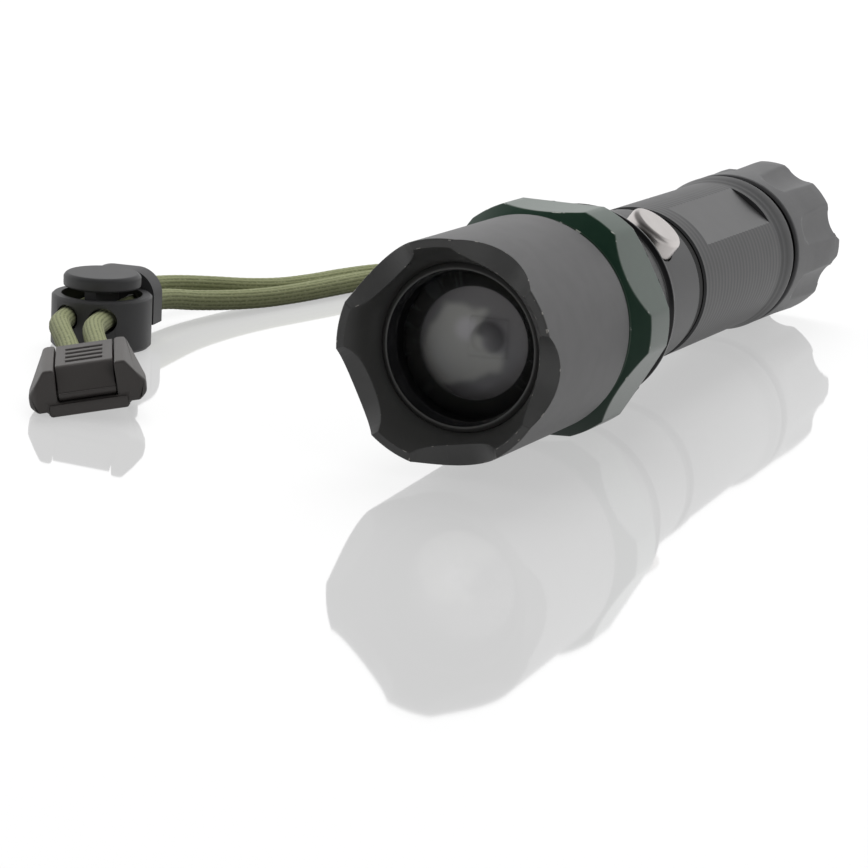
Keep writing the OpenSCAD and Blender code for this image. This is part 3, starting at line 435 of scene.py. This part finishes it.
# A round cutter that leans a little forward mills each scallop straight in through the rim.
head_radius, scallop_count, scallop_depth = 0.019, 5, 0.0045
scallop_phase, scallop_width, cutter_lean = math.radians(8), math.radians(48), math.radians(80)
cutter_middle, cutter_length, cutter_sides = 0.019, 0.017, 160
floor_level = head_radius * math.cos(cutter_lean) - scallop_depth * math.sin(cutter_lean)
half_chord = head_radius * math.sin(scallop_width / 2)
floor_sag = head_radius * math.cos(scallop_width / 2) * math.cos(cutter_lean) - floor_level
cutter_radius = (floor_sag ** 2 + half_chord ** 2) / (2 * floor_sag)
scallop_cutters = []
for k in range(scallop_count):
    bpy.ops.object.select_all(action="DESELECT")
    bpy.ops.mesh.primitive_cylinder_add(vertices=cutter_sides, radius=cutter_radius, depth=cutter_length)
    cutter = bpy.context.object
    turn = scallop_phase + 2 * math.pi * k / scallop_count
    cutter.matrix_world = (Matrix.Translation(rim_centre) @ axis_turn.to_4x4()
                           @ Matrix.Rotation(turn, 4, "Z") @ Matrix.Rotation(cutter_lean, 4, "Y")
                           @ Matrix.Translation((floor_level + cutter_radius, 0, cutter_middle)))
    scallop_cutters.append(cutter)

sleeve = with_soft_edges("zoom_sleeve", 0.00012, sleeve_grey, nicks_and_painted_edge_highlights, cutters=scallop_cutters)
sleeve.data.materials.append(funnel_black)
sleeve.data.materials.append(scallop_satin)
rim_depth = 0.0105
facing_in, facing_out = -0.5, 0.95
for face in sleeve.data.polygons:
    offset = face.center - rim_centre
    behind_rim = -offset.dot(forward)
    slope = face.normal.dot((offset + forward * behind_rim).normalized())
    if behind_rim > rim_depth:
        face.material_index = 0
    elif slope < facing_in:
        face.material_index = 2
    elif face.material_index == 0 and slope < facing_out:
        face.material_index = 3

gloss_black, tree, shader = new_finish("gloss_black", (0.008, 0.008, 0.009), 0.0, 0.18)
uneven_gloss(tree, shader, 0.003, 0.15, 0.22)

# The front of the lip is a lighter satin grey than the ring: a satin finish, partly a painted highlight.
lip_satin_painted_highlight, tree, shader = new_finish("lip_satin_painted_highlight", (0.1, 0.1, 0.097), 0.0, 0.4)
uneven_gloss(tree, shader, 0.004, 0.36, 0.44)

lens_ring = with_soft_edges("lens_ring", 0.0001, gloss_black)
lens_ring.data.materials.append(lip_satin_painted_highlight)
lip_radius, facing_front = 0.01305, 0.2
for face in lens_ring.data.polygons:
    offset = face.center - rim_centre
    if face.normal.dot(forward) > facing_front and offset.cross(forward).length > lip_radius:
        face.material_index = 1

collar_black, tree, shader = new_finish("collar_black", (0.006, 0.006, 0.007), 0.0, 0.22, 0.3)
uneven_gloss(tree, shader, 0.003, 0.2, 0.25)
with_soft_edges("rear_collar", 0.00012, collar_black)

# Pale flecks on the ring's broken edges: worn nicks, and painted highlights along the edges.
green_nicks_and_painted_highlights, tree, shader = new_finish("green_nicks_and_painted_highlights", (0.03, 0.06, 0.04), 0.0, 0.35)
mottle(tree, shader, 0.0013, (0.02, 0.05, 0.03), (0.4, 0.42, 0.38), 0.64, 0.68)

ring_green, tree, shader = new_finish("anodised_green", (0.010, 0.042, 0.022), 0.0, 0.28, 0.45)
mottle(tree, shader, 0.003, (0.009, 0.039, 0.020), (0.011, 0.045, 0.024))
add_bump(tree, shader, object_noise(tree, 0.0001), 0.000004)

cone_green, tree, shader = new_finish("blasted_green", (0.008, 0.032, 0.018), 0.0, 0.4, 0.15)
mottle(tree, shader, 0.003, (0.007, 0.030, 0.017), (0.009, 0.034, 0.019))

ring = with_soft_edges("anti_roll_ring", 0.0002, ring_green, green_nicks_and_painted_highlights)
ring.data.materials.append(cone_green)
for face in ring.data.polygons:
    if face.material_index == 0 and face.normal.dot(forward) > facing_front:
        face.material_index = 2

lens_radius, lens_edge, lens_crown = 0.014, 0.0026, 0.0042
lens_front, dome_half_width, dome_points = 0.0127, 0.0122, 40
dome_radius = (dome_half_width ** 2 + lens_crown ** 2) / (2 * lens_crown)
dome_reach = math.asin(dome_half_width / dome_radius)
lens_outline = [(0.0, lens_front + lens_edge)]
for k in range(dome_points + 1):
    lean = dome_reach * k / dome_points
    lens_outline.append((dome_radius * math.sin(lean),
                         lens_front - lens_crown + dome_radius * (1 - math.cos(lean))))
edge_bevel = 0.001
lens_outline += [(lens_radius, lens_front), (lens_radius, lens_front + lens_edge - edge_bevel),
                 (lens_radius - edge_bevel, lens_front + lens_edge)]
lens_steps = 160
lens = turned("lens_finished", lens_outline, lens_steps)
bpy.ops.object.shade_smooth_by_angle(angle=math.radians(15))

clear_glass, tree, shader = new_finish("lens_glass", (0.97, 0.97, 0.97), 0.0, 0.2)
shader.inputs["Transmission Weight"].default_value = 1
shader.inputs["IOR"].default_value = 1.49
shader.inputs["Specular Tint"].default_value = (0.3, 0.32, 0.4, 1)
uneven_gloss(tree, shader, 0.003, 0.19, 0.21)

# The lens's ground edge is dark brown with pale copper flecks: painted glints.
ground_edge_painted_glints, tree, shader = new_finish("ground_edge_painted_glints", (0.1, 0.075, 0.055), 0.0, 0.5)
mottle(tree, shader, 0.004, (0.02, 0.016, 0.012), (0.3, 0.22, 0.16), 0.5, 0.6)

lens.data.materials.clear()
lens.data.materials.append(clear_glass)
lens.data.materials.append(ground_edge_painted_glints)
for face in lens.data.polygons:
    if (face.center - rim_centre).cross(forward).length > lens_radius - turned_edge / 4:
        face.material_index = 1
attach(lens, frame["nodes"]["lens"]["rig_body"])
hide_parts("lens")

gasket_black, tree, shader = new_finish("gasket_black", (0.016, 0.0155, 0.014), 0.0, 0.5, 0.3)
mottle(tree, shader, 0.004, (0.014, 0.0135, 0.012), (0.018, 0.0175, 0.016))
wear(gasket_black, "lens_gasket")


# Tail cap
# Turned and anodised like the tube, with eight flutes milled along it that leave a crown of teeth,
# and two lugs that stand out of the crown.

tail_grey, tree, shader = new_finish("tail_grey", (0.085, 0.085, 0.088), 0.0, 0.45)
mottle(tree, shader, 0.005, (0.080, 0.080, 0.083), (0.090, 0.090, 0.093))
add_bump(tree, shader, object_noise(tree, 0.00012), 0.000006)
tail = with_soft_edges("tail_cap", 0.0003, tail_grey)
# The tail cap's front face, a wall of its groove, gets the painted shade of the groove.
tail.data.materials.append(painted_groove_shade)
tail_start = 0.1457
for face in tail.data.polygons:
    behind_rim = (rim_centre - face.center).dot(forward)
    if face.normal.dot(forward) > front_end and behind_rim < tail_start + turned_edge:
        face.material_index = 1


# Wrist cord
# Two strands of 4 mm braided cord. One leaves through a hole in the tail cap, the other through the
# open tail; both run on the floor to the cord lock, through it, and end in the clip.

cord_radius, cord_step = 0.002, 0.00042
stitch_rows, stitch_length, sheath_relief = 16, 0.0017, 0.00009
strand_a = [
    (-0.0110, 0.0785, 0.0163), (-0.0142, 0.0785, 0.0165), (-0.0188, 0.0785, 0.0158),
    (-0.0240, 0.0783, 0.0135), (-0.0300, 0.0780, 0.0100), (-0.0360, 0.0776, 0.0067),
    (-0.0420, 0.0769, 0.0040), (-0.0480, 0.0758, 0.0025), (-0.0540, 0.0742, 0.0021),
    (-0.0605, 0.0716, 0.0021), (-0.0668, 0.0674, 0.0021), (-0.0724, 0.0612, 0.0021),
    (-0.0760, 0.0526, 0.0021), (-0.0786, 0.0434, 0.0021), (-0.0813, 0.0340, 0.0021),
    (-0.0846, 0.0242, 0.0023), (-0.0880, 0.0148, 0.0030), (-0.0908, 0.0060, 0.0041),
    (-0.0925, -0.0030, 0.0056), (-0.0928, -0.0120, 0.0064), (-0.0905, -0.0340, 0.0064),
    (-0.0886, -0.0396, 0.0067), (-0.0848, -0.0466, 0.0069), (-0.0804, -0.0534, 0.0066),
    (-0.0762, -0.0601, 0.0062), (-0.0715, -0.0689, 0.0062),
]
strand_b = [
    (-0.0110, 0.0785, 0.0163), (-0.0088, 0.0785, 0.0162), (-0.0054, 0.0791, 0.0161),
    (-0.0026, 0.0810, 0.0160), (-0.0008, 0.0838, 0.0158), (-0.0002, 0.0870, 0.0157),
    (-0.0008, 0.0902, 0.0156), (-0.0026, 0.0930, 0.0154), (-0.0054, 0.0949, 0.0151),
    (-0.0090, 0.0957, 0.0147), (-0.0145, 0.0960, 0.0132), (-0.0200, 0.0958, 0.0111),
    (-0.0260, 0.0946, 0.0083), (-0.0320, 0.0925, 0.0056), (-0.0380, 0.0896, 0.0034),
    (-0.0440, 0.0864, 0.0023), (-0.0520, 0.0822, 0.0021), (-0.0620, 0.0768, 0.0021),
    (-0.0708, 0.0702, 0.0021), (-0.0770, 0.0620, 0.0021), (-0.0808, 0.0530, 0.0021),
    (-0.0836, 0.0440, 0.0021), (-0.0866, 0.0360, 0.0023), (-0.0902, 0.0284, 0.0030),
    (-0.0946, 0.0212, 0.0040), (-0.0982, 0.0136, 0.0050), (-0.1000, 0.0050, 0.0059),
    (-0.1004, -0.0040, 0.0064), (-0.0999, -0.0120, 0.0064), (-0.0976, -0.0340, 0.0064),
    (-0.0956, -0.0398, 0.0066), (-0.0912, -0.0468, 0.0065), (-0.0858, -0.0543, 0.0059),
    (-0.0805, -0.0624, 0.0053), (-0.0758, -0.0712, 0.0053),
]


def smooth_run(route, step):
    """Points on a smooth curve through a cord's route, about one step apart."""
    points = [Vector(p) for p in route]
    spans = [(b - a).length for a, b in zip(points, points[1:])]
    runs = [(points[1] - points[0]) / spans[0]]
    for i in range(1, len(points) - 1):
        before, after = spans[i - 1], spans[i]
        runs.append(((points[i] - points[i - 1]) / before * after
                     + (points[i + 1] - points[i]) / after * before) / (before + after))
    runs.append((points[-1] - points[-2]) / spans[-1])
    smooth = []
    for i, span in enumerate(spans):
        count = max(1, round(span / step))
        for k in range(count):
            t = k / count
            smooth.append(points[i] * (2 * t ** 3 - 3 * t ** 2 + 1)
                          + points[i + 1] * (3 * t ** 2 - 2 * t ** 3)
                          + runs[i] * span * (t ** 3 - 2 * t ** 2 + t)
                          + runs[i + 1] * span * (t ** 3 - t ** 2))
    smooth.append(points[-1])
    return smooth


def sheath_radius(turn, travelled):
    """Radius of the cord's sheath: rows of stitches along it, leaning one way and the other by turns."""
    row, across = divmod(turn * stitch_rows, 1)
    lean = 0.5 if row % 2 else -0.5
    bead = 0.5 + 0.5 * math.cos(2 * math.pi * (travelled / stitch_length + lean * across))
    return cord_radius - sheath_relief * (1 - math.sin(math.pi * across) * (0.6 + 0.4 * bead))


def braided_cord(name, route):
    """A cord along its route, with the relief of its sheath and a map of turn and length for the weave."""
    sides = stitch_rows * 4
    path = smooth_run(route, cord_step)
    points, faces, places = [], [], []
    travelled = 0.0
    for i, centre in enumerate(path):
        heading = (path[min(i + 1, len(path) - 1)] - path[max(i - 1, 0)]).normalized()
        side = heading.cross(Vector((0, 0, 1))).normalized()
        top = side.cross(heading)
        if i:
            travelled += (centre - path[i - 1]).length
        for k in range(sides):
            angle = 2 * math.pi * k / sides
            outward = side * math.cos(angle) + top * math.sin(angle)
            points.append(centre + outward * sheath_radius(k / sides, travelled))
            places.append((k / sides, travelled))
    for i in range(len(path) - 1):
        for k in range(sides):
            a, b = i * sides + k, i * sides + (k + 1) % sides
            faces.append((a, a + sides, b + sides, b))
    faces.append(tuple(range(sides)))
    faces.append(tuple(reversed(range((len(path) - 1) * sides, len(path) * sides))))
    mesh = bpy.data.meshes.new(name)
    mesh.from_pydata(points, [], faces)
    weave = mesh.uv_layers.new(name="weave")
    for face in mesh.polygons:
        wraps = max(places[v][0] for v in (mesh.loops[c].vertex_index for c in face.loop_indices)) > 0.9
        for corner in face.loop_indices:
            turn, way = places[mesh.loops[corner].vertex_index]
            weave.data[corner].uv = (turn + 1 if wraps and turn < 0.1 else turn, way)
    mesh.shade_smooth()
    cord = bpy.data.objects.new(name, mesh)
    bpy.context.scene.collection.objects.link(cord)
    mesh.materials.append(olive_braid)
    return cord, path


olive_braid, tree, shader = new_finish("olive_braid", (0.16, 0.18, 0.085), 0.0, 0.8, 0.2)
shader.inputs["Sheen Weight"].default_value = 0.12
weave = tree.nodes.new("ShaderNodeUVMap")
weave.uv_map = "weave"
split = tree.nodes.new("ShaderNodeSeparateXYZ")
tree.links.new(weave.outputs["UV"], split.inputs["Vector"])
row_place = calc(tree, "MULTIPLY", split.outputs[0], stitch_rows)
across = calc(tree, "FRACT", row_place)
row_lean = calc(tree, "SUBTRACT", calc(tree, "FLOORED_MODULO", calc(tree, "FLOOR", row_place), 2.0), 0.5)
stitch_place = calc(tree, "ADD", calc(tree, "DIVIDE", split.outputs[1], stitch_length),
                    calc(tree, "MULTIPLY", row_lean, across))
stitch_wave = calc(tree, "COSINE", calc(tree, "MULTIPLY", stitch_place, 2 * math.pi))
bead = calc(tree, "MULTIPLY_ADD", stitch_wave, 0.5, 0.5)
crown = calc(tree, "MULTIPLY", calc(tree, "SINE", calc(tree, "MULTIPLY", across, math.pi)),
             calc(tree, "MULTIPLY_ADD", bead, 0.3, 0.7))
# The braid is darker down between the stitches and lighter on their crowns: painted shade in the creases.
braid_with_painted_crease_shade = mixed_colour(tree, fade(tree, crown, 0.1, 0.8), (0.155, 0.17, 0.08), (0.29, 0.31, 0.16))
tree.links.new(mixed_colour(tree, fade(tree, object_noise(tree, 0.0006, 4.0), 0.4, 0.8), braid_with_painted_crease_shade,
                            (0.33, 0.35, 0.2)), shader.inputs["Base Color"])
add_bump(tree, shader, object_noise(tree, 0.00018, 3.0), 0.00003)

cords = {}
for name, node, route in (("wrist_cord_a", "lanyard_strand_a", strand_a),
                          ("wrist_cord_b", "lanyard_strand_b", strand_b)):
    cords[name] = braided_cord(name, route)
    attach(cords[name][0], "tail")
    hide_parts(node)


# Cord lock and clip
# Moulded charcoal plastic with soft edges. The lock's plunger is pushed up by a spring and pinches
# the strands; the clip's cover snaps down on their ends.

moulded_charcoal, tree, shader = new_finish("moulded_charcoal", (0.06, 0.06, 0.062), 0.0, 0.5)
mottle(tree, shader, 0.006, (0.057, 0.057, 0.059), (0.063, 0.063, 0.065))
add_bump(tree, shader, object_noise(tree, 0.00025), 0.000006)
lock_body = with_soft_edges("cord_lock_body", 0.0005, moulded_charcoal, narrow=True)
lock_plunger = with_soft_edges("cord_lock_plunger", 0.0003, moulded_charcoal)

moulded_grey, tree, shader = new_finish("moulded_grey", (0.088, 0.081, 0.077), 0.0, 0.5)
mottle(tree, shader, 0.006, (0.085, 0.078, 0.074), (0.091, 0.084, 0.080))
add_bump(tree, shader, object_noise(tree, 0.00025), 0.000008)
clip_base = with_soft_edges("clip_base", 0.0005, moulded_grey)
clip_cover = with_soft_edges("clip_cover", 0.00022, moulded_grey)
wear(moulded_grey, "clip_pin")

# The cover's grip grooves are spread towards the hinge, so that they fill more of its top.
hinge_way = Vector(joint["cover_open"]["axis"]).normalized()
hinge_place = Vector(joint["cover_open"]["pos_m"])
clip_way = Vector((0, 0, 1)).cross(hinge_way).normalized()
clip_up = hinge_way.cross(clip_way)
grooves_from, grooves_to, groove_half, groove_floor = 0.0065, 0.0153, 0.0036, 0.0038
groove_spread, groove_shift = 0.28, 0.0004
for corner in clip_cover.data.vertices:
    offset = corner.co - hinge_place
    along = offset.dot(clip_way)
    if (grooves_from < along < grooves_to and abs(offset.dot(hinge_way)) < groove_half
            and offset.dot(clip_up) > groove_floor):
        corner.co -= clip_way * (groove_shift + groove_spread * (grooves_to - along))

# The spring is a copy of the CAD spring in spring wire, with a mesh of its own.
lock_spring = bpy.data.objects.new("cord_lock_spring_finished",
                                   frame["nodes"]["cord_lock_spring"].data.copy())
bpy.context.scene.collection.objects.link(lock_spring)
lock_spring.data.materials.clear()
lock_spring.data.materials.append(spring_wire)
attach(lock_spring, "tail")
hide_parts("cord_lock_spring")
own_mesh(lock_spring)


# Floor, light and camera
# A white gloss table top that mirrors the flashlight faintly, soft light from above and behind and
# from the right, a white studio that is dimmer on the camera's side, and a long lens close to the table.

looks = Vector((-0.369674, 0.899806, -0.231711))
table_size, table_glow, table_polish = 6, 0.92, 0.48
studio_level = 0.58


def seen_directly(tree):
    """One for the rays that show the white studio: those of the camera, of mirrors and of glass."""
    rays = tree.nodes.new("ShaderNodeLightPath")
    return calc(tree, "MAXIMUM", rays.outputs["Is Camera Ray"],
                calc(tree, "MAXIMUM", rays.outputs["Is Glossy Ray"], rays.outputs["Is Transmission Ray"]))


bpy.ops.object.select_all(action="DESELECT")
bpy.ops.mesh.primitive_plane_add(size=table_size, location=(0, 0, 0))
table_top = bpy.context.object
table_top.name = "table_top"
table_white, tree, shader = new_finish("table_white", (0.3, 0.3, 0.3), 0.0, 0.9, 0.0)
shader.inputs["Emission Color"].default_value = (1, 1, 1, 1)
tree.links.new(calc(tree, "MULTIPLY", seen_directly(tree), table_glow), shader.inputs["Emission Strength"])
polish = tree.nodes.new("ShaderNodeBsdfGlossy")
polish.inputs["Roughness"].default_value = 0.04
polished_white = tree.nodes.new("ShaderNodeMixShader")
polished_white.inputs["Fac"].default_value = table_polish
tree.links.new(shader.outputs["BSDF"], polished_white.inputs[1])
tree.links.new(polish.outputs["BSDF"], polished_white.inputs[2])
tree.links.new(polished_white.outputs["Shader"], tree.nodes["Material Output"].inputs["Surface"])
table_top.data.materials.append(table_white)

world = bpy.data.worlds.new("white_studio")
world.use_nodes = True
bpy.context.scene.world = world
tree = world.node_tree
studio = tree.nodes["Background"]
studio.inputs["Color"].default_value = (1, 1, 1, 1)
toward = tree.nodes.new("ShaderNodeTexCoord")
towards_camera = tree.nodes.new("ShaderNodeVectorMath")
towards_camera.operation = "DOT_PRODUCT"
towards_camera.inputs[1].default_value = -looks
tree.links.new(toward.outputs["Generated"], towards_camera.inputs[0])
split = tree.nodes.new("ShaderNodeSeparateXYZ")
tree.links.new(toward.outputs["Generated"], split.inputs["Vector"])
rays = tree.nodes.new("ShaderNodeLightPath")
mirrored_dim = calc(tree, "MULTIPLY", rays.outputs["Is Glossy Ray"],
                    fade(tree, towards_camera.outputs["Value"], 0.0, 0.5, 0.0, 0.8))
dim_side = calc(tree, "MAXIMUM", mirrored_dim,
                fade(tree, towards_camera.outputs["Value"], 0.15, 0.85, 0.0, 0.68))
dim_top = calc(tree, "MULTIPLY", rays.outputs["Is Glossy Ray"],
               fade(tree, split.outputs[2], 0.42, 0.7, 0.0, 0.75))
level = calc(tree, "MULTIPLY_ADD", seen_directly(tree), 1 - studio_level, studio_level)
dimmed = calc(tree, "MULTIPLY", calc(tree, "MULTIPLY", level, calc(tree, "SUBTRACT", 1.0, dim_side)),
              calc(tree, "SUBTRACT", 1.0, dim_top))
tree.links.new(calc(tree, "MAXIMUM", rays.outputs["Is Camera Ray"], dimmed), studio.inputs["Strength"])


def softbox(name, place, width, watts):
    """A square lamp that points at the flashlight."""
    lamp = bpy.data.lights.new(name, "AREA")
    lamp.size = width
    lamp.energy = watts
    holder = bpy.data.objects.new(name, lamp)
    bpy.context.scene.collection.objects.link(holder)
    holder.location = place
    holder.rotation_mode = "QUATERNION"
    holder.rotation_quaternion = (-Vector(place)).to_track_quat("-Z", "Y")
    holder.visible_glossy = False


softbox("top_light", (-0.3, 0.65, 0.85), 0.8, 10)
softbox("right_light", (1.0, -0.5, 0.6), 0.6, 2)

camera_data = bpy.data.cameras.new("camera")
camera_data.sensor_width = 36
camera_data.lens = 149.55
camera_data.clip_start = 0.05
camera = bpy.data.objects.new("camera", camera_data)
bpy.context.scene.collection.objects.link(camera)
camera_place = (0.216607, -0.615675, 0.144311)
to_right = Vector((0.919651, 0.389919, 0.046955))
to_top = Vector((-0.132599, 0.195735, 0.971651))
camera.matrix_world = (Matrix.Translation(camera_place)
                       @ Matrix((to_right, to_top, -looks)).transposed().to_4x4())
bpy.context.scene.camera = camera
